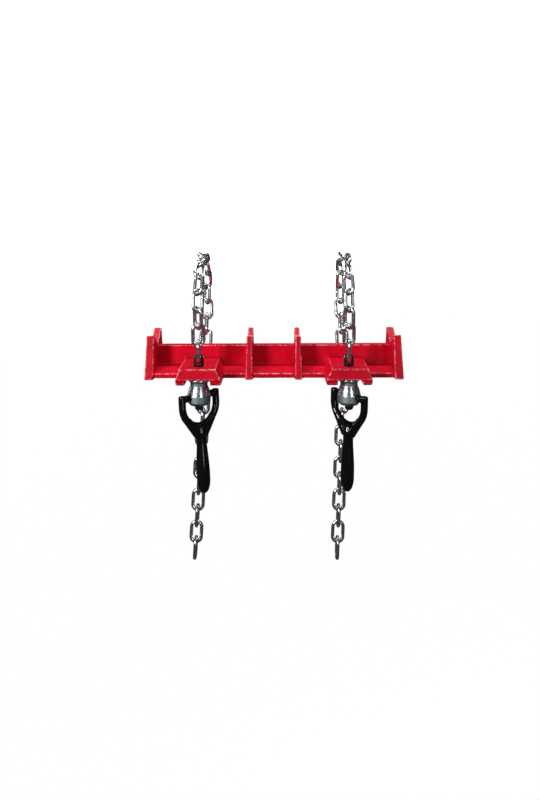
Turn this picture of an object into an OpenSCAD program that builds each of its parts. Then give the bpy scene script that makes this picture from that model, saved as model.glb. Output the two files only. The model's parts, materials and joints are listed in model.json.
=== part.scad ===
// Straight two-chain pipe-joining clamp: a cast beam with four vee seats, two hand-screwed
// chains that pull two pipe ends down into the seats, and slotted hooks that hold the chain tails.
// Frame: origin on the pipe axis at the middle of the beam, +X along the pipe, +Y to the chain
// hooks (the screws are on the -Y side), +Z up. Millimetres.

/* [Pipe and beam] */
// outside diameter of the pipe that the chains are wrapped round, mm
pipe_diameter = 114.3; // [114.3]
// overall length of the cast beam, mm
beam_length = 382; // [340:2:460]
// distance of each chain from the middle of the beam, mm
chain_offset = 109.25; // [100:0.25:130]
// distance of each middle vee rib from the middle of the beam, mm
mid_rib_offset = 36.5; // [30:0.5:50]
// included angle of the vee seats, degrees
vee_angle = 120; // [110:130]
// height of the resting face below the pipe axis, mm
foot_drop = 110.5; // [109:0.5:111]
// thickness of the middle web, mm
web_thickness = 14; // [10:18]
// thickness of the bottom flange at its edge, mm
flange_edge = 7.2; // [5:0.1:9]

/* [Lugs and hooks] */
// width of the flat top of each screw lug, mm
lug_width = 52; // [48:56]
// distance that each screw lug reaches forward of the pipe axis, mm
lug_reach = 81; // [78:86]
// diameter of the plain hole that each screw passes through, mm
lug_hole = 16.5; // [16:0.5:18]
// width of the slot between the hook prongs, mm
hook_slot = 6.6; // [6.4:0.1:7]
// distance that the hook prongs reach behind the pipe axis, mm
hook_reach = 48; // [46:50]
// distance of the hanging chain tails behind the pipe axis, mm
tail_y = 24; // [24]

/* [Chain] */
// diameter of the chain wire, mm
wire = 5.5; // [5.5]
// distance between the middles of neighbouring links when taut, mm
pitch = 25.4; // [25.4]
// inside length of a link, mm
link_inside = 25.9; // [25.9]
// inside width of a link, mm
link_width_inside = 10.5; // [10.5]

/* [Screw, nut and handle] */
// distance of the screw axis in front of the pipe axis, mm
screw_y = 56; // [56]
// diameter of the screw, mm
screw_diameter = 13; // [13]
// diameter of the slotted head of the screw, mm
head_diameter = 15; // [14:0.5:15]
// travel of the screw through the nut, mm
screw_travel = 9; // [9]
// largest diameter of the cone nut, mm
nut_diameter = 33.8; // [33:0.1:35]
// radius of the handle's fork arms, mm
arm_radius = 5.3; // [5:0.1:5.6]
// half of the distance between the handle's fork arms, mm
fork_half = 30; // [29:31]
// length of the handle from its pivot to its end, mm
handle_length = 138; // [132:150]
// angle of the left handle's pivot from the beam, degrees
left_turn = 43; // [0:90]
// angle of the right handle's pivot from the beam, degrees
right_turn = -50; // [-90:0]

/* [Rest pose] */
// angle at which the left handle hangs, back from plumb about its pivot, degrees
left_handle_lean = -5; // [-10:0.1:10]
// angle at which the right handle hangs, back from plumb about its pivot, degrees
right_handle_lean = -2.2; // [-10:0.1:10]
// angle at which the left chain tail hangs towards -X, degrees
left_tail_lean = 3.5; // [0:0.1:4]
// angle at which the right chain tail hangs towards -X, degrees
right_tail_lean = 2.3; // [0:0.1:4]

/* [Hidden] */
$fn = 64;
gap = 0.4;

pipe_radius = pipe_diameter / 2;
half_length = beam_length / 2;
vee_rise = tan(90 - vee_angle / 2);
vee_bottom = pipe_radius / sin(vee_angle / 2);
vee_reach = 31.5;
vee_tip_drop = vee_bottom - vee_reach * vee_rise;
web_drop = 68;
flange_drop = 108.7;
flange_half = 45;
flange_root = 96.5;
lug_drop = 86.6;
lug_under = 102.3;
lug_extra = 3;

end_radius = (link_width_inside + wire) / 2;
straight_half = (link_inside - link_width_inside) / 2;
crown = straight_half + end_radius;
ride_radius = pipe_radius + wire / 2 + end_radius * cos(45) + 0.04;
joint_radius = ride_radius + 2.4;

// the front run leaves the pin and meets the ride circle at a tangent
pin_drop = 76;
pin_radius = wire / 2;
first_link = link_inside / 2 - pin_radius - gap;
pin_distance = norm([screw_y, pin_drop]);
front_run = sqrt(pin_distance * pin_distance - ride_radius * ride_radius);
leave_angle = 180 + atan2(pin_drop, screw_y) - acos(ride_radius / pin_distance);

// the rear run leaves the ride circle at a tangent and bends down where the last loop link ends
loop_links = 16;
all_links = 28;
loop_run = first_link + (loop_links - 0.5) * pitch;
function rear_run(drop) = sqrt(tail_y * tail_y + drop * drop - ride_radius * ride_radius);
function rear_angle(drop) = atan2(drop, tail_y) - acos(ride_radius / norm([tail_y, drop]));
function loop_length(drop) = front_run + rear_run(drop)
    + joint_radius * (leave_angle + rear_angle(drop)) * PI / 180;
function bend_height(drop, step) = step < 0.0001 ? drop
    : bend_height(drop + (loop_length(drop) < loop_run ? step : -step), step / 2);
bend_drop = bend_height(102, 8);
back_angle = rear_angle(bend_drop);
over_run = joint_radius * (leave_angle + back_angle) * PI / 180;
// the first tail link hangs plumb from the crown of the sloping link above it
crown_lap = crown - pitch / 2;
hang_y = tail_y + crown_lap * sin(back_angle);
hang_drop = bend_drop + crown_lap * (1 - cos(back_angle));

function run(k) = first_link + (k - 1) * pitch;
function wrap(k) = leave_angle - (run(k) - front_run) / joint_radius * 180 / PI;
function on_front(k) = run(k) < front_run;
function on_pipe(k) = run(k) < front_run + over_run;
function on_back(k) = k <= loop_links;
function link_y(k) = on_front(k)
    ? -screw_y + run(k) * (ride_radius * cos(leave_angle) + screw_y) / front_run
    : on_pipe(k) ? ride_radius * cos(wrap(k))
    : on_back(k) ? tail_y + (loop_run - run(k)) * sin(back_angle) : hang_y;
function link_z(k) = on_front(k)
    ? -pin_drop + run(k) * (ride_radius * sin(leave_angle) + pin_drop) / front_run
    : on_pipe(k) ? ride_radius * sin(wrap(k))
    : on_back(k) ? -bend_drop + (loop_run - run(k)) * cos(back_angle) : loop_run - hang_drop - run(k);
function link_tilt(k) = on_front(k) ? leave_angle - 180 : on_pipe(k) ? wrap(k) - 180
    : on_back(k) ? -back_angle - 180 : 180;
// the chain is straight at the screw, at 45 degrees on the pipe, and a quarter turn on at the hook
function chain_twist(k) = k == 1 ? 0 : k == 2 ? 22 : k == 3 ? 42 : k < 12 ? 45
    : k == 12 ? 56 : k == 13 ? 72 : k == 14 ? 80 : 90;
function link_roll(k) = chain_twist(k) - (k % 2 == 1 ? 90 : 0);

screw_neck = pin_drop + 21.9;
nut_top = 105.2;
pivot_drop = 131.3;
nut_bottom = 142.8;
screw_end = 151;
trunnion_radius = 4;
bore_reach = 11;

// the prongs lie between the swinging link above them and the crown of the link that they catch
hook_top = 89.5;
hook_low = hang_drop - crown_lap - wire / 2 - 0.45;
slot_end = 17.5;
recess_half = 14;

// ---- casting ----

// a profile drawn as [Y, Z], extruded along X between two places
module along_x(from, to)
  translate([from, 0, 0]) rotate([90, 0, 90]) linear_extrude(to - from) children();

// a profile drawn as [X, Z], extruded along Y between two places
module along_y(from, to)
  translate([0, to, 0]) rotate([90, 0, 0]) linear_extrude(to - from) children();

module rib_profile() polygon([
  [-49, -foot_drop], [49, -foot_drop], [33.5, -vee_tip_drop - 3], [vee_reach + 1, -vee_tip_drop - 0.5],
  [vee_reach, -vee_tip_drop], [0, -vee_bottom], [-vee_reach, -vee_tip_drop],
  [-vee_reach - 1, -vee_tip_drop - 0.5], [-33.5, -vee_tip_drop - 3]
]);

// a rib that is thicker at its foot, as it draws from a mould
module rib(x, top, foot) intersection() {
  along_x(x - foot, x + foot) rib_profile();
  along_y(-60, 60) polygon([
    [x - foot / 2, -foot_drop - 1], [x + foot / 2, -foot_drop - 1],
    [x + top / 2, -vee_tip_drop + 1], [x - top / 2, -vee_tip_drop + 1]
  ]);
}

module flange() along_x(-half_length + 2, half_length - 2) polygon([
  [-flange_half, -flange_drop], [flange_half, -flange_drop],
  [flange_half, -flange_drop + flange_edge], [web_thickness / 2 + 3, -flange_root],
  [web_thickness / 2, -flange_root + 3], [-web_thickness / 2, -flange_root + 3],
  [-web_thickness / 2 - 3, -flange_root], [-flange_half, -flange_drop + flange_edge]
]);

// inner is the direction along X of the beam's middle, where the lug is a little wider
module screw_lug(inner) {
  intersection() {
    along_y(-lug_reach - 2, -1) polygon([
      [-inner * (lug_width / 2 + 5.5), -lug_under], [inner * (lug_width / 2 + 5.5 + lug_extra), -lug_under],
      [inner * lug_width / 2, -lug_drop], [-inner * lug_width / 2, -lug_drop]
    ]);
    along_x(-50, 50) polygon([
      [-1, -lug_under], [-lug_reach, -lug_under], [-lug_reach - 0.6, -lug_under + 1],
      [-lug_reach + 1.4, -lug_drop - 1.2], [-lug_reach + 2.8, -lug_drop], [-1, -lug_drop]
    ]);
  }
  for (side = [-1, 1]) intersection() {
    along_x(-50, 50) polygon([
      [-30, -foot_drop], [-lug_reach + 4, -foot_drop], [-lug_reach + 2, -foot_drop + 2],
      [-lug_reach + 1.5, -lug_under + 1], [-30, -lug_under + 1]
    ]);
    along_y(-lug_reach - 2, -28) polygon([
      [side * 18, -lug_under + 2], [side * 18, -foot_drop],
      [side * (29.5 + (side == inner ? lug_extra : 0)), -foot_drop],
      [side * (31.5 + (side == inner ? lug_extra : 0)), -foot_drop + 2],
      [side * (31.5 + (side == inner ? lug_extra : 0)), -lug_under + 2]
    ]);
  }
}

module hook_plan() {
  difference() {
    union() {
      translate([-19, 3]) square([38, flange_half - 6]);
      for (side = [-1, 1]) {
        translate([side * 11.4 - 7.6, 10]) square([15.2, hook_reach - 17]);
        translate([side * 11.4, hook_reach - 7.6]) circle(7.6);
      }
    }
    translate([-hook_slot / 2, slot_end]) square([hook_slot, 40]);
    translate([0, slot_end]) circle(hook_slot / 2);
  }
}

// the hook: two prongs standing on the rear flange, with the flange cut away under them
module chain_hook() translate([0, 0, -hook_low]) linear_extrude(hook_low - hook_top) hook_plan();

module hook_recess() {
  translate([-recess_half, 14, -foot_drop - 1]) cube([2 * recess_half, 60, foot_drop + 1 - hook_low]);
  translate([0, 0, -hook_low - 0.5]) linear_extrude(hook_low) union() {
    translate([-hook_slot / 2, slot_end]) square([hook_slot, 60]);
    translate([0, slot_end]) circle(hook_slot / 2);
  }
}

module base_casting() color([0.78, 0.05, 0.1]) difference() {
  union() {
    for (x = [-1, 1]) {
      rib(x * (half_length - 6.5), 11, 13);
      rib(x * mid_rib_offset, 8, 10);
      translate([x * chain_offset, 0, 0]) { screw_lug(-x); chain_hook(); }
    }
    along_x(-half_length + 2, half_length - 2) translate([-web_thickness / 2, -flange_drop + 2])
      square([web_thickness, flange_drop - 2 - web_drop]);
    flange();
  }
  for (x = [-chain_offset, chain_offset]) translate([x, 0, 0]) hook_recess();
  for (x = [-chain_offset, chain_offset]) translate([x, -screw_y, 0]) {
    translate([0, 0, -foot_drop - 5]) cylinder(h = foot_drop, d = lug_hole);
    translate([0, 0, -lug_drop - 1]) cylinder(h = 2, d1 = lug_hole, d2 = lug_hole + 4);
    translate([-18, -lug_reach, -foot_drop - 1]) cube([36, 30 + lug_reach - 3, foot_drop + 1 - lug_under]);
  }
}

// ---- chain ----

// one link: long axis along Z, both legs in the XZ plane
module link() {
  for (end = [-1, 1]) translate([0, 0, end * straight_half]) rotate([end * 90, 0, 0])
    rotate_extrude(angle = 180) translate([end_radius, 0]) circle(d = wire);
  for (side = [-1, 1]) translate([side * end_radius, 0, -straight_half])
    cylinder(h = 2 * straight_half, d = wire);
}

module links(from, to) color([0.72, 0.74, 0.77]) for (k = [from:to])
  translate([0, link_y(k), link_z(k)]) rotate([link_tilt(k), 0, 0]) rotate([0, 0, link_roll(k)]) link();

// ---- screw, nut and handle, each drawn with the screw axis on Z at the pipe axis's height ----

module thrust_washer() color([0.7, 0.72, 0.75]) translate([0, 0, -lug_under - 2.5]) difference() {
  cylinder(h = 2.5, d = 30);
  translate([0, 0, -1]) cylinder(h = 5, d = lug_hole);
}

module chain_screw() color([0.06, 0.06, 0.07]) difference() {
  union() {
    translate([0, 0, -screw_neck - 1]) cylinder(h = screw_neck + 1 - pin_drop, d = head_diameter);
    translate([0, 0, -pin_drop - 0.7]) sphere(d = head_diameter);
    translate([0, 0, -screw_end + 3]) cylinder(h = screw_end - 3 - screw_neck, d = screw_diameter);
    translate([0, 0, -screw_end]) cylinder(h = 3, d1 = screw_diameter - 5, d2 = screw_diameter);
  }
  translate([-wire / 2 - gap, -20, -screw_neck + 1]) cube([wire + 2 * gap, 40, 60]);
  translate([-20, 0, -pin_drop]) rotate([0, 90, 0]) cylinder(h = 40, r = pin_radius);
}

module clevis_pin() color([0.5, 0.5, 0.52]) translate([-head_diameter / 2 + 0.2, 0, -pin_drop])
  rotate([0, 90, 0]) cylinder(h = head_diameter - 0.4, r = pin_radius);

module handle_nut() color([0.75, 0.77, 0.8]) difference() {
  rotate_extrude() polygon([
    [screw_diameter / 2 + 0.3, -nut_top], [14.6, -nut_top], [15.2, -nut_top - 0.7],
    [15.2, -nut_top - 2.9], [12.6, -nut_top - 5.2], [12.5, -115.4], [13.8, -118.2], [15.5, -122.8],
    [nut_diameter / 2, -128.8], [nut_diameter / 2, -138.2], [13.4, -nut_bottom],
    [screw_diameter / 2 + 1, -nut_bottom], [screw_diameter / 2 + 0.3, -nut_bottom + 0.8]
  ]);
  for (side = [-1, 1]) translate([side * bore_reach, 0, -pivot_drop]) rotate([0, side * 90, 0])
    cylinder(h = 12, r = trunnion_radius + 0.3);
}

// radius of the grip at a fraction of its length: waisted at the fork, full near the end
function grip_radius(u) = 7.4 + 2.4 * pow(sin(90 * min(1, max(0, u - 0.1) / 0.78)), 1.4);
grip_end = 21;

module fork_handle() color([0.03, 0.03, 0.03]) {
  for (side = [-1, 1]) {
    translate([side * fork_half, 0, -12]) cylinder(h = 16.4, r = arm_radius);
    translate([side * fork_half, 0, 4.4]) cylinder(h = 0.9, r1 = arm_radius, r2 = arm_radius - 0.9);
    translate([side * 18, 0, 0]) rotate([0, side * 90, 0]) cylinder(h = fork_half - 18, r = arm_radius - 0.2);
    translate([side * (bore_reach + 0.5), 0, 0]) rotate([0, side * 90, 0])
      cylinder(h = 12, r = trunnion_radius);
    translate([side * 22.5, 0, -31]) rotate([0, side * 36.5 + 180, 0])
      cylinder(h = 30, r1 = arm_radius + 0.4, r2 = 6.8);
  }
  translate([0, 0, -12]) rotate([-90, 0, 0]) rotate_extrude(angle = 180)
    translate([fork_half, 0]) circle(r = arm_radius);
  rotate_extrude() polygon(concat(
    [[0, -40], [7, -44], [8.6, -51]],
    [for (i = [0:16]) [grip_radius(i / 16), -59 - (handle_length - 59 - grip_end) * i / 16]],
    [for (i = [1:9]) [grip_radius(1) * pow(cos(i * 10), 0.85), -handle_length + grip_end * (1 - sin(i * 10))]]
  ));
}

module at_screw(side, turn = 0) translate([side * chain_offset, -screw_y, 0]) rotate([0, 0, turn]) children();
module at_pivot(side, turn, lean)
  at_screw(side, turn) translate([0, 0, -pivot_drop]) rotate([lean, 0, 0]) children();
module at_chain(side) translate([side * chain_offset, 0, 0]) children();

// the lower tail, swung about the crown of its first link
module at_tail(side, lean) at_chain(side) translate([0, hang_y, link_z(18) + crown]) rotate([0, lean, 0])
  translate([0, -hang_y, -link_z(18) - crown]) children();

base_casting();
at_screw(-1) thrust_washer();  // thrust_washer_left
at_screw(1) thrust_washer();  // thrust_washer_right
at_screw(-1) chain_screw();  // chain_screw_left
at_screw(1) chain_screw();  // chain_screw_right
at_screw(-1) clevis_pin();  // clevis_pin_left
at_screw(1) clevis_pin();  // clevis_pin_right
at_screw(-1, left_turn) handle_nut();  // handle_nut_left
at_screw(1, right_turn) handle_nut();  // handle_nut_right
at_pivot(-1, left_turn, left_handle_lean) fork_handle();  // fork_handle_left
at_pivot(1, right_turn, right_handle_lean) fork_handle();  // fork_handle_right
at_chain(-1) links(1, 7);  // chain_front_left
at_chain(1) links(1, 7);  // chain_front_right
at_chain(-1) links(8, 14);  // chain_over_left
at_chain(1) links(8, 14);  // chain_over_right
at_chain(-1) links(15, 16);  // chain_rear_left
at_chain(1) links(15, 16);  // chain_rear_right
at_chain(-1) links(17, 17);  // chain_tail_a_left
at_chain(1) links(17, 17);  // chain_tail_a_right
at_tail(-1, left_tail_lean) links(18, 20);  // chain_tail_b_left
at_tail(1, right_tail_lean) links(18, 20);  // chain_tail_b_right
at_tail(-1, left_tail_lean) links(21, 21);  // chain_tail_c_left
at_tail(1, right_tail_lean) links(21, 21);  // chain_tail_c_right
at_tail(-1, left_tail_lean) links(22, 24);  // chain_tail_d_left
at_tail(1, right_tail_lean) links(22, 24);  // chain_tail_d_right
at_tail(-1, left_tail_lean) links(25, all_links);  // chain_tail_e_left
at_tail(1, right_tail_lean) links(25, all_links);  // chain_tail_e_right
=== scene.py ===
"""Looks for the straight two-chain pipe clamp. Metres, in the CAD's frame: origin on the pipe
axis at the middle of the beam, +X along the pipe, +Y towards the chain hooks, +Z up."""

import json
import math

import bmesh
import bpy
import numpy as np
from mathutils import Matrix, Vector


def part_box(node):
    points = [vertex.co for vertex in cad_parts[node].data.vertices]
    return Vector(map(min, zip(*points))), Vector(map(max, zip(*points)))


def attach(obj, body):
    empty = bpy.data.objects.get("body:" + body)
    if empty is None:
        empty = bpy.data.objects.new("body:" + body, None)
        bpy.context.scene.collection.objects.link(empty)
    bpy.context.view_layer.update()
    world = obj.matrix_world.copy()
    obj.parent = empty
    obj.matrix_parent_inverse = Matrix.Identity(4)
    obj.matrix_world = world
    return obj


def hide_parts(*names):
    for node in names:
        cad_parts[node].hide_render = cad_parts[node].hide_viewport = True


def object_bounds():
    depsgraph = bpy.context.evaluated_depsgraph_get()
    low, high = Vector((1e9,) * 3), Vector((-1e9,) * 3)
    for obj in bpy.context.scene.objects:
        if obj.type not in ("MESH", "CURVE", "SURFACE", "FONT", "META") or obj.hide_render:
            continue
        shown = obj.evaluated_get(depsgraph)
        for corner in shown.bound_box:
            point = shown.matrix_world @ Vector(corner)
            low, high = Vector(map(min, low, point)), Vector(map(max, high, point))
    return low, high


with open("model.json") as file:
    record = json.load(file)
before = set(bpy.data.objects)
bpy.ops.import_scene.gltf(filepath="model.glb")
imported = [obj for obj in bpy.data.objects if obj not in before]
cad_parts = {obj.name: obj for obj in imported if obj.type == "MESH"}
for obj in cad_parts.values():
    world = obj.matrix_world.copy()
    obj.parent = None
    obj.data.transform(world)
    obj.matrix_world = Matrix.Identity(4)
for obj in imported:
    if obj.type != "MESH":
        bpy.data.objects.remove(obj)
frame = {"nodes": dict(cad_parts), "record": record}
CAD_BOX = [list(corner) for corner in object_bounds()]
NODES = frame["nodes"]
SIDES = ("left", "right")
BODY_OF = {node: body for body, members in frame["record"]["behaviour"]["bodies"].items() for node in members}
SLOT_OF = {s["node"]: s["material_slot"] for s in frame["record"]["subparts"]}
MM = 0.001

SCREW_DIAMETER = 13.0 * MM
THREAD_LEAD = 3.0 * MM
THREAD_DEPTH = 1.1 * MM
THREAD_TIP = 2.6 * MM            # height of the bevel at the screw's end
SHOULDER_ABOVE_WASHER = 1.6 * MM
THREAD_OVERLAP = 0.5 * MM        # how far the thread runs up into the head's cut end
WASHER_BORE_RADIUS = 8.25 * MM
WELD_FLASH, WELD_GROOVE = 0.15 * MM, 0.16 * MM
FLOOR_BELOW_OBJECT = 25 * MM


# ---------------------------------------------------------------- materials

def new_material(name):
    """A node material, with its tree, its Principled shader and a maker of further nodes."""
    material = bpy.data.materials.new(name)
    material.use_nodes = True
    tree = material.node_tree
    shader = tree.nodes["Principled BSDF"]

    def add(kind, **values):
        node = tree.nodes.new(kind)
        for key, value in values.items():
            if key in node.inputs:
                node.inputs[key].default_value = value
            else:
                setattr(node, key, value)
        return node

    return material, tree, shader, add


def noise(tree, add, coordinates, scale, detail=4.0, roughness=0.55):
    texture = add("ShaderNodeTexNoise", Scale=scale, Detail=detail, Roughness=roughness)
    tree.links.new(coordinates.outputs["Object"], texture.inputs["Vector"])
    return texture


def ramp(tree, add, source, stops):
    """A colour ramp over source, with stops of (position, colour)."""
    node = add("ShaderNodeValToRGB")
    elements = node.color_ramp.elements
    elements[0].position, elements[0].color = stops[0][0], (*stops[0][1], 1)
    elements[1].position, elements[1].color = stops[-1][0], (*stops[-1][1], 1)
    for position, colour in stops[1:-1]:
        elements.new(position).color = (*colour, 1)
    tree.links.new(source, node.inputs["Fac"])
    return node


def grey(value):
    return (value, value, value)


def mix(tree, add, kind, factor, a, b):
    """Mixes colour a and b, each a socket, by a socket or a number."""
    node = add("ShaderNodeMix", data_type="RGBA", blend_type=kind)
    sockets = [s for s in node.inputs if s.enabled]
    if isinstance(factor, (int, float)):
        sockets[0].default_value = factor
    else:
        tree.links.new(factor, sockets[0])
    for value, socket in ((a, sockets[1]), (b, sockets[2])):
        if isinstance(value, tuple):
            socket.default_value = (*value, 1)
        else:
            tree.links.new(value, socket)
    return [s for s in node.outputs if s.enabled][0]


def bump(tree, add, shader, height, distance, strength=1.0, under=None):
    node = add("ShaderNodeBump", Strength=strength, Distance=distance)
    tree.links.new(height, node.inputs["Height"])
    if under is not None:
        tree.links.new(under.outputs["Normal"], node.inputs["Normal"])
    tree.links.new(node.outputs["Normal"], shader.inputs["Normal"])
    return node


def red_paint():
    """Semi-gloss red paint over a sand-cast surface: fine grain, uneven gloss, a painted highlight along the
    edges and painted shade in the hollow corners.
    """
    material, tree, shader, add = new_material("red_cast_paint")
    coordinates = add("ShaderNodeTexCoord")
    blotches = noise(tree, add, coordinates, 38, 3)
    grain = noise(tree, add, coordinates, 620, 3, 0.6)
    swell = noise(tree, add, coordinates, 130, 2)
    body = ramp(tree, add, blotches.outputs["Fac"],
                [(0.3, (0.52, 0.001, 0.016)), (0.7, (0.72, 0.002, 0.024))])
    geometry = add("ShaderNodeNewGeometry")
    # Painted highlight: pale pink, broken lines along the convex edges, mixed into the paint's colour.
    edges = ramp(tree, add, geometry.outputs["Pointiness"], [(0.508, grey(0)), (0.545, grey(1))])
    edge_breakup = noise(tree, add, coordinates, 210, 6, 0.7)
    broken = ramp(tree, add, edge_breakup.outputs["Fac"], [(0.47, grey(0)), (0.56, grey(1))])
    edge_highlight_mask = mix(tree, add, "MULTIPLY", 1.0, edges.outputs["Color"], broken.outputs["Color"])
    edge_highlight_strength = add("ShaderNodeMath", operation="MULTIPLY")
    tree.links.new(edge_highlight_mask, edge_highlight_strength.inputs[0])
    edge_highlight_strength.inputs[1].default_value = 0.9
    # Painted shade: the colour darkens in concave corners and fillets.
    corners = ramp(tree, add, geometry.outputs["Pointiness"], [(0.42, grey(0.30)), (0.495, grey(1))])
    shaded = mix(tree, add, "MULTIPLY", 1.0, body.outputs["Color"], corners.outputs["Color"])
    colour = mix(tree, add, "MIX", edge_highlight_strength.outputs[0], shaded, (1.0, 0.52, 0.50))
    tree.links.new(colour, shader.inputs["Base Color"])
    gloss = ramp(tree, add, swell.outputs["Fac"], [(0.3, grey(0.34)), (0.7, grey(0.50))])
    tree.links.new(gloss.outputs["Color"], shader.inputs["Roughness"])
    shader.inputs["Specular IOR Level"].default_value = 0.12
    wavy = bump(tree, add, shader, swell.outputs["Fac"], 0.0005, 0.5)
    bump(tree, add, shader, grain.outputs["Fac"], 0.00022, 0.7, under=wavy)
    return material


def zinc(name, light, dark, rough, grain_scale, rings=False, bands=()):
    """Bright zinc plate: slightly uneven in colour and gloss; rings adds a lathe's turning marks, and
    bands gives pairs of heights between which the surface is matt and darker."""
    material, tree, shader, add = new_material(name)
    coordinates = add("ShaderNodeTexCoord")
    clouds = noise(tree, add, coordinates, grain_scale, 4)
    fine = noise(tree, add, coordinates, grain_scale * 9, 3)
    colour = ramp(tree, add, clouds.outputs["Fac"], [(0.32, dark), (0.66, light)])
    geometry = add("ShaderNodeNewGeometry")
    # Painted shade: the plate's colour darkens in concave creases.
    painted_crease_shade = ramp(tree, add, geometry.outputs["Pointiness"], [(0.40, grey(0.30)), (0.50, grey(1))])
    shaded = mix(tree, add, "MULTIPLY", 0.8, colour.outputs["Color"], painted_crease_shade.outputs["Color"])
    shader.inputs["Metallic"].default_value = 1.0
    gloss = ramp(tree, add, fine.outputs["Fac"],
                 [(0.35, grey(rough[0])), (0.65, grey(rough[1]))]).outputs["Color"]
    for band in bands:
        split = add("ShaderNodeSeparateXYZ")
        tree.links.new(coordinates.outputs["Object"], split.inputs[0])
        height = add("ShaderNodeMapRange")
        tree.links.new(split.outputs["Z"], height.inputs["Value"])
        height.inputs["From Min"].default_value, height.inputs["From Max"].default_value = band
        step = ramp(tree, add, height.outputs["Result"],
                    [(0.0, grey(0)), (0.03, grey(1)), (0.97, grey(1)), (1.0, grey(0))])
        shaded = mix(tree, add, "MIX", step.outputs["Color"], shaded, (0.34, 0.39, 0.42))
        gloss = mix(tree, add, "MIX", step.outputs["Color"], gloss, grey(0.55))
    tree.links.new(shaded, shader.inputs["Base Color"])
    tree.links.new(gloss, shader.inputs["Roughness"])
    under = bump(tree, add, shader, fine.outputs["Fac"], 0.00003, 0.35)
    if rings:
        marks = add("ShaderNodeTexWave", wave_type="BANDS", bands_direction="Z", Scale=420.0,
                    Distortion=1.5, Detail=2.0)
        tree.links.new(coordinates.outputs["Object"], marks.inputs["Vector"])
        bump(tree, add, shader, marks.outputs["Fac"], 0.00003, 0.5, under=under)
    return material


def black(name, colour, rough, coat, metallic=0.0):
    """Black enamel or oxide: faint orange peel, uneven gloss, greyer where edges are rubbed."""
    material, tree, shader, add = new_material(name)
    coordinates = add("ShaderNodeTexCoord")
    peel = noise(tree, add, coordinates, 420, 3)
    smears = noise(tree, add, coordinates, 60, 5, 0.65)
    geometry = add("ShaderNodeNewGeometry")
    edges = ramp(tree, add, geometry.outputs["Pointiness"], [(0.52, grey(0)), (0.64, grey(0.5))])
    tone = ramp(tree, add, smears.outputs["Fac"], [(0.3, colour), (0.75, tuple(2.0 * c for c in colour))])
    rubbed = mix(tree, add, "MIX", edges.outputs["Color"], tone.outputs["Color"], (0.015, 0.015, 0.015))
    tree.links.new(rubbed, shader.inputs["Base Color"])
    gloss = ramp(tree, add, smears.outputs["Fac"], [(0.3, grey(rough[0])), (0.7, grey(rough[1]))])
    tree.links.new(gloss.outputs["Color"], shader.inputs["Roughness"])
    shader.inputs["Metallic"].default_value = metallic
    shader.inputs["Coat Weight"].default_value = coat
    shader.inputs["Coat Roughness"].default_value = 0.08
    bump(tree, add, shader, peel.outputs["Fac"], 0.00008, 0.25)
    return material


nut_low, nut_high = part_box("handle_nut_left")
NUT_BANDS = (
    (nut_low.z + 3.8 * MM, nut_low.z + 14.2 * MM),      # the wide ring with the handle's holes
    (nut_high.z - 10.2 * MM, nut_high.z - 2.6 * MM))    # the neck under the washer

MATERIALS = {
    "red_paint": red_paint(),
    "zinc_chain": zinc("zinc_chain_plate", (0.80, 0.82, 0.84), (0.60, 0.62, 0.65),
                       (0.16, 0.32), 90),
    "zinc_hardware": zinc("zinc_turned_plate", (0.78, 0.81, 0.85), (0.66, 0.69, 0.73),
                          (0.20, 0.34), 50, True),
    "nut": zinc("zinc_nut_plate", (0.82, 0.89, 0.94), (0.70, 0.77, 0.82),
                (0.20, 0.30), 40, True, NUT_BANDS),
    "black_oxide": black("black_oxide_steel", (0.008, 0.008, 0.009), (0.30, 0.45), 0.15, 0.5),
    "black_handle": black("black_enamel", (0.0018, 0.0018, 0.002), (0.10, 0.18), 0.2),
}


# ---------------------------------------------------------------- pieces

def new_piece(name, mesh, nodes, smooth_angle=None, finish=None):
    """Links a mesh as a piece that stands for CAD nodes of one body. It gets their slot's finish, or
    the finish named."""
    piece = bpy.data.objects.new(name, mesh)
    bpy.context.scene.collection.objects.link(piece)
    mesh.materials.clear()
    mesh.materials.append(MATERIALS[finish or SLOT_OF[nodes[0]]])
    mesh.shade_smooth()
    if smooth_angle is not None:
        mesh.set_sharp_from_angle(angle=math.radians(smooth_angle))
    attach(piece, BODY_OF[nodes[0]])
    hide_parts(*nodes)
    return piece


def mesh_of(name, points, faces):
    mesh = bpy.data.meshes.new(name)
    mesh.from_pydata([tuple(p) for p in points], [], faces)
    mesh.update()
    return mesh


def welded_copy(node):
    """A copy of a CAD node's mesh with its doubled corners merged."""
    mesh = NODES[node].data.copy()
    work = bmesh.new()
    work.from_mesh(mesh)
    bmesh.ops.remove_doubles(work, verts=work.verts, dist=2e-6)
    work.to_mesh(mesh)
    work.free()
    return mesh


def cast_skin(node, voxel, rounds):
    """A CAD node's solid as one skin with rounded edges and filled corners."""
    source = bpy.data.objects.new(node + "_source", welded_copy(node))
    bpy.context.scene.collection.objects.link(source)
    remesh = source.modifiers.new("remesh", "REMESH")
    remesh.mode, remesh.voxel_size = "VOXEL", voxel
    relax = source.modifiers.new("relax", "SMOOTH")
    relax.factor, relax.iterations = 0.5, rounds
    shown = source.evaluated_get(bpy.context.evaluated_depsgraph_get())
    mesh = bpy.data.meshes.new_from_object(shown)
    bpy.data.objects.remove(source)
    return mesh


def rounded(profile, reach, steps=4):
    """A lathe profile of (radius, height) with each corner between its ends turned into a small arc."""
    out = [profile[0]]
    for before, here, after in zip(profile, profile[1:], profile[2:]):
        b, h, a = (np.array(p, float) for p in (before, here, after))
        into, away = h - b, a - h
        cut = min(reach, np.linalg.norm(into) * 0.45, np.linalg.norm(away) * 0.45)
        start = h - into / max(np.linalg.norm(into), 1e-12) * cut
        end = h + away / max(np.linalg.norm(away), 1e-12) * cut
        for i in range(steps + 1):
            t = i / steps
            out.append(tuple((1 - t) ** 2 * start + 2 * t * (1 - t) * h + t * t * end))
    out.append(profile[-1])
    return out


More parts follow.
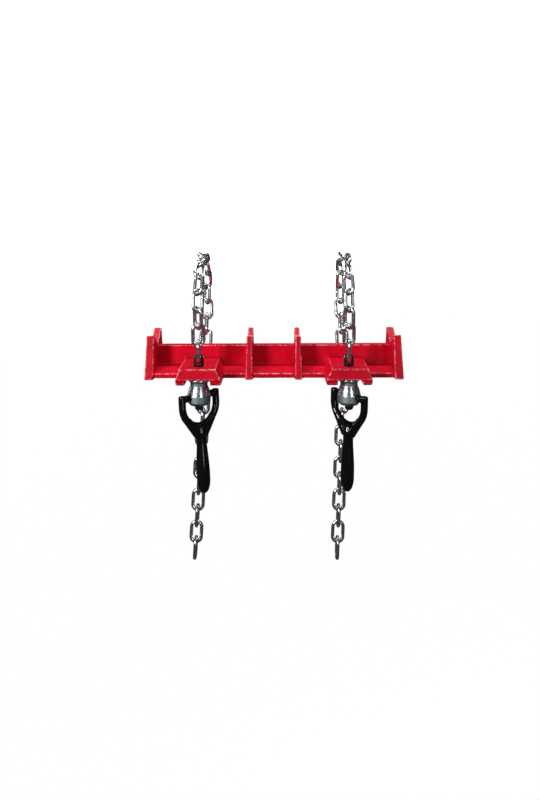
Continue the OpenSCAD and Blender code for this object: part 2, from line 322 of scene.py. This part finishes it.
def lathe(name, profile, centre, segments=96):
    """A closed ring of revolution about the vertical through centre; profile is a closed loop."""
    points, faces = [], []
    count = len(profile)
    for s in range(segments):
        turn = 2 * math.pi * s / segments
        for radius, height in profile:
            points.append((centre.x + radius * math.cos(turn), centre.y + radius * math.sin(turn), height))
    for s in range(segments):
        nxt = (s + 1) % segments
        for i in range(count):
            j = (i + 1) % count
            faces.append((s * count + i, nxt * count + i, nxt * count + j, s * count + j))
    return mesh_of(name, points, faces)


# ---- casting

new_piece("cast_beam", cast_skin("base_casting", 1.0 * MM, 3), ["base_casting"])


# ---- chain links

def link_frames(node):
    """Each loose link of a chain node: its middle, its long, wide and thin directions, and its size."""
    work = bmesh.new()
    work.from_mesh(welded_copy(node))
    work.verts.ensure_lookup_table()
    seen, found = set(), []
    for first in work.verts:
        if first.index in seen:
            continue
        island, queue = [], [first]
        seen.add(first.index)
        while queue:
            v = queue.pop()
            island.append(v)
            for e in v.link_edges:
                other = e.other_vert(v)
                if other.index not in seen:
                    seen.add(other.index)
                    queue.append(other)
        faces = {f for v in island for f in v.link_faces}
        weights = np.array([f.calc_area() for f in faces])
        middles = np.array([f.calc_center_median() for f in faces])
        centre = (middles * weights[:, None]).sum(0) / weights.sum()
        spread = middles - centre
        _, axes = np.linalg.eigh((spread * weights[:, None]).T @ spread)
        corners = np.array([v.co for v in island]) - centre
        across = corners @ axes
        size = across.max(0) - across.min(0)
        found.append((centre, axes[:, 2], axes[:, 1], axes[:, 0], size[::-1]))
    work.free()
    return sorted(found, key=lambda f: (-round(f[0][2], 4), f[0][1]))


def link_rings(size, around=56, section=18):
    """One welded link at the origin, long along X and wide along Y, with a weld bead on its -Y leg."""
    length, width, wire = size
    bend = (width - wire) / 2
    straight = (length - width) / 2
    quarter = around // 4
    path = []
    for i in range(2 * quarter):
        turn = -math.pi / 2 + math.pi * i / (2 * quarter)
        path.append((straight + bend * math.cos(turn), bend * math.sin(turn), turn))
    for i in range(quarter):
        path.append((straight - 2 * straight * i / quarter, bend, math.pi / 2))
    for i in range(2 * quarter):
        turn = math.pi / 2 + math.pi * i / (2 * quarter)
        path.append((-straight + bend * math.cos(turn), bend * math.sin(turn), turn))
    steps = 18
    for i in range(steps):
        path.append((-straight + 2 * straight * i / steps, -bend, -math.pi / 2))
    rings = []
    for x, y, turn in path:
        radius = wire / 2
        if y < -bend * 0.99:
            # the flash that is left where the wire's ends were welded, with a fine groove beside it
            offset = x / (1.0 * MM)
            radius += WELD_FLASH * math.exp(-offset * offset) - WELD_GROOVE * math.exp(
                -((abs(offset) - 2.0) ** 2) / 0.3)
        ring = []
        for s in range(section):
            a = 2 * math.pi * s / section
            out = radius * math.cos(a)
            ring.append((x + out * math.cos(turn), y + out * math.sin(turn), radius * math.sin(a)))
        rings.append(ring)
    return rings


def chain_piece(node):
    """All the links of one chain node as one piece, each made to the size of the CAD's link."""
    points, faces = [], []
    for centre, long, wide, thin, size in link_frames(node):
        if wide[0] < -1e-6 or (abs(wide[0]) < 1e-6 and wide[1] < 0):
            wide = -wide
        if np.linalg.det(np.array([long, wide, thin])) < 0:
            thin = -thin
        rings = link_rings(size)
        n, m, start = len(rings), len(rings[0]), len(points)
        for ring in rings:
            for x, y, z in ring:
                points.append(centre + x * long + y * wide + z * thin)
        for i in range(n):
            for j in range(m):
                a, b = start + i * m, start + ((i + 1) % n) * m
                k = (j + 1) % m
                faces.append((a + j, b + j, b + k, a + k))
    return new_piece(node + "_links", mesh_of(node + "_links", points, faces), [node])


for node in NODES:
    if node.startswith("chain_") and not node.startswith("chain_screw"):
        chain_piece(node)


# ---- screw, pin, washer, nut and handle of each side

def thread_mesh(name, centre, low, high, tip):
    """A right-hand thread of trapezoid form between two heights, with a bevelled tip below it."""
    around, per_turn = 64, 16
    rows = int((high - low) / THREAD_LEAD * per_turn)
    points, faces = [], []
    for r in range(rows + 1):
        z = low + (high - low) * r / rows
        for s in range(around):
            share = s / around
            phase = (z / THREAD_LEAD - share) % 1.0
            form = min(1.0, max(0.0, (abs(phase - 0.5) * 2 - 0.30) / 0.26))
            radius = SCREW_DIAMETER / 2 - THREAD_DEPTH * (1 - form)
            bevel = max(0.0, 1 - (z - low) / tip)
            radius = min(radius, SCREW_DIAMETER / 2 - tip * 0.8 * bevel)
            turn = 2 * math.pi * share
            points.append((centre.x + radius * math.cos(turn), centre.y + radius * math.sin(turn), z))
    for r in range(rows):
        for s in range(around):
            a, b = r * around, (r + 1) * around
            k = (s + 1) % around
            faces.append((a + s, a + k, b + k, b + s))
    faces.append(tuple(reversed(range(around))))
    return mesh_of(name, points, faces)


def joined(name, meshes):
    """One mesh that holds several, side by side."""
    work = bmesh.new()
    for mesh in meshes:
        work.from_mesh(mesh)
    out = bpy.data.meshes.new(name)
    work.to_mesh(out)
    work.free()
    return out


for side in SIDES:
    screw_low, screw_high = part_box(f"chain_screw_{side}")
    axis = Vector(((screw_low.x + screw_high.x) / 2, (screw_low.y + screw_high.y) / 2, 0))

    # the slotted head comes from the CAD solid; below its shoulder the thread takes over
    head = cast_skin(f"chain_screw_{side}", 0.45 * MM, 4)
    washer_low, washer_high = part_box(f"thrust_washer_{side}")
    shoulder = washer_high.z + SHOULDER_ABOVE_WASHER
    work = bmesh.new()
    work.from_mesh(head)
    bmesh.ops.bisect_plane(work, geom=work.verts[:] + work.edges[:] + work.faces[:],
                           plane_co=(0, 0, shoulder), plane_no=(0, 0, -1), clear_outer=True)
    work.to_mesh(head)
    work.free()
    thread = thread_mesh("thread", axis, screw_low.z, shoulder + THREAD_OVERLAP, THREAD_TIP)
    new_piece(f"threaded_screw_{side}", joined(f"threaded_screw_{side}", [head, thread]),
              [f"chain_screw_{side}"], 38)

    pin_low, pin_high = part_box(f"clevis_pin_{side}")
    radius, middle = (pin_high.z - pin_low.z) / 2, (pin_low + pin_high) / 2
    half = (pin_high.x - pin_low.x) / 2
    profile = [(0.0, -half), (radius * 0.55, -half), (radius * 0.86, -half + 0.35 * MM),
               (radius, -half + 0.9 * MM), (radius, half - 0.9 * MM),
               (radius * 0.86, half - 0.35 * MM), (radius * 0.55, half), (0.0, half)]
    pin = lathe("pin", profile, Vector((0, 0, 0)), 40)
    pin.transform(Matrix.Translation(middle) @ Matrix.Rotation(math.pi / 2, 4, "Y"))
    new_piece(f"riveted_pin_{side}", pin, [f"clevis_pin_{side}"])

    outer, bore = (washer_high.x - washer_low.x) / 2, WASHER_BORE_RADIUS
    profile = rounded([(bore, washer_low.z + 0.6 * MM), (bore, washer_high.z), (outer, washer_high.z),
                       (outer, washer_low.z), (bore, washer_low.z), (bore, washer_low.z + 0.5 * MM)],
                      0.5 * MM)
    new_piece(f"washer_{side}", lathe("washer", profile, axis), [f"thrust_washer_{side}"], 40)

    new_piece(f"cone_nut_{side}", cast_skin(f"handle_nut_{side}", 0.4 * MM, 2),
              [f"handle_nut_{side}"], finish="nut")
    new_piece(f"fork_{side}", cast_skin(f"fork_handle_{side}", 0.8 * MM, 8),
              [f"fork_handle_{side}"])


# ---------------------------------------------------------------- stage, lights and camera

low = Vector(CAD_BOX[0])


def backdrop():
    """A pale round floor that curves up into a wall on every side, well away from the object."""
    floor = low.z - FLOOR_BELOW_OBJECT
    flat, bend, wall, around, steps = 2.6, 0.7, 3.4, 96, 16
    line = [(flat, floor)]
    for i in range(1, steps + 1):
        turn = math.pi / 2 * i / steps
        line.append((flat + bend * math.sin(turn), floor + bend * (1 - math.cos(turn))))
    line.append((flat + bend, floor + wall))
    points = [(r * math.cos(2 * math.pi * k / around), r * math.sin(2 * math.pi * k / around), z)
              for r, z in line for k in range(around)]
    faces = [tuple(range(around))]
    for i in range(len(line) - 1):
        for k in range(around):
            a, b = i * around + k, i * around + (k + 1) % around
            faces.append((a, b, b + around, a + around))
    mesh = mesh_of("backdrop", points, faces)
    mesh.shade_smooth()
    stage = bpy.data.objects.new("backdrop", mesh)
    bpy.context.scene.collection.objects.link(stage)
    material, tree, shader, add = new_material("pale_paper")
    coordinates = add("ShaderNodeTexCoord")
    speckle = noise(tree, add, coordinates, 6, 2)
    tone = ramp(tree, add, speckle.outputs["Fac"], [(0.3, grey(0.90)), (0.7, grey(0.93))])
    tree.links.new(tone.outputs["Color"], shader.inputs["Base Color"])
    shader.inputs["Roughness"].default_value = 0.9
    shader.inputs["Specular IOR Level"].default_value = 0.1
    shader.inputs["Emission Color"].default_value = (1, 1, 1, 1)
    shader.inputs["Emission Strength"].default_value = 1.0
    mesh.materials.append(material)
    # the paper lights nothing: the plate's dark outlines and the paint's shade come from a dark room
    stage.visible_glossy = stage.visible_diffuse = False


def soft_box(name, place, aim, width, height, power):
    light = bpy.data.lights.new(name, "AREA")
    light.shape, light.size, light.size_y, light.energy = "RECTANGLE", width, height, power
    lamp = bpy.data.objects.new(name, light)
    bpy.context.scene.collection.objects.link(lamp)
    lamp.location = place
    lamp.rotation_euler = (Vector(aim) - Vector(place)).to_track_quat("-Z", "Y").to_euler()


backdrop()
soft_box("key", (-1.15, -1.35, 0.42), (0, 0, -0.1), 0.4, 0.7, 26)
soft_box("fill", (0.75, -1.65, 0.15), (0, 0, -0.15), 0.35, 1.2, 5)
soft_box("top", (0.0, -0.10, 1.25), (0, 0, -0.1), 1.3, 0.6, 2.0)
soft_box("rim", (-1.2, 0.7, 0.3), (0, 0, -0.15), 0.25, 1.2, 1.5)
soft_box("wall_wash", (0.0, 0.7, 1.9), (0, 2.3, 0.1), 3.2, 0.6, 90)
soft_box("floor_wash", (0.0, -1.2, 1.9), (0, 0.6, -0.45), 3.0, 1.2, 3)

world = bpy.data.worlds.new("studio")
world.use_nodes = True
world.node_tree.nodes["Background"].inputs["Color"].default_value = (0.93, 0.95, 1.0, 1)
world.node_tree.nodes["Background"].inputs["Strength"].default_value = 0.05
bpy.context.scene.view_settings.view_transform = "Standard"
bpy.context.scene.world = world

camera_data = bpy.data.cameras.new("camera")
camera = bpy.data.objects.new("camera", camera_data)
bpy.context.scene.collection.objects.link(camera)
bpy.context.scene.camera = camera
CAMERA_PLACE = Vector((3.45, -1004.78, 149.40)) * MM
PITCH, YAW, ROLL = math.radians(0.0), math.radians(-0.468), math.radians(-0.30)
FOCAL_PX, IMAGE_TALL = 651.12, 800
forward = Vector((math.sin(YAW) * math.cos(PITCH), math.cos(YAW) * math.cos(PITCH), -math.sin(PITCH)))
right = Vector((math.cos(YAW), -math.sin(YAW), 0))
up = right.cross(forward)
right, up = right * math.cos(ROLL) + up * math.sin(ROLL), up * math.cos(ROLL) - right * math.sin(ROLL)
camera.matrix_world = Matrix((
    (right.x, up.x, -forward.x, CAMERA_PLACE.x),
    (right.y, up.y, -forward.y, CAMERA_PLACE.y),
    (right.z, up.z, -forward.z, CAMERA_PLACE.z),
    (0, 0, 0, 1)))
camera_data.sensor_width = 36
camera_data.lens = FOCAL_PX / IMAGE_TALL * camera_data.sensor_width
camera_data.shift_y = -0.246
camera_data.clip_start, camera_data.clip_end = 0.05, 30
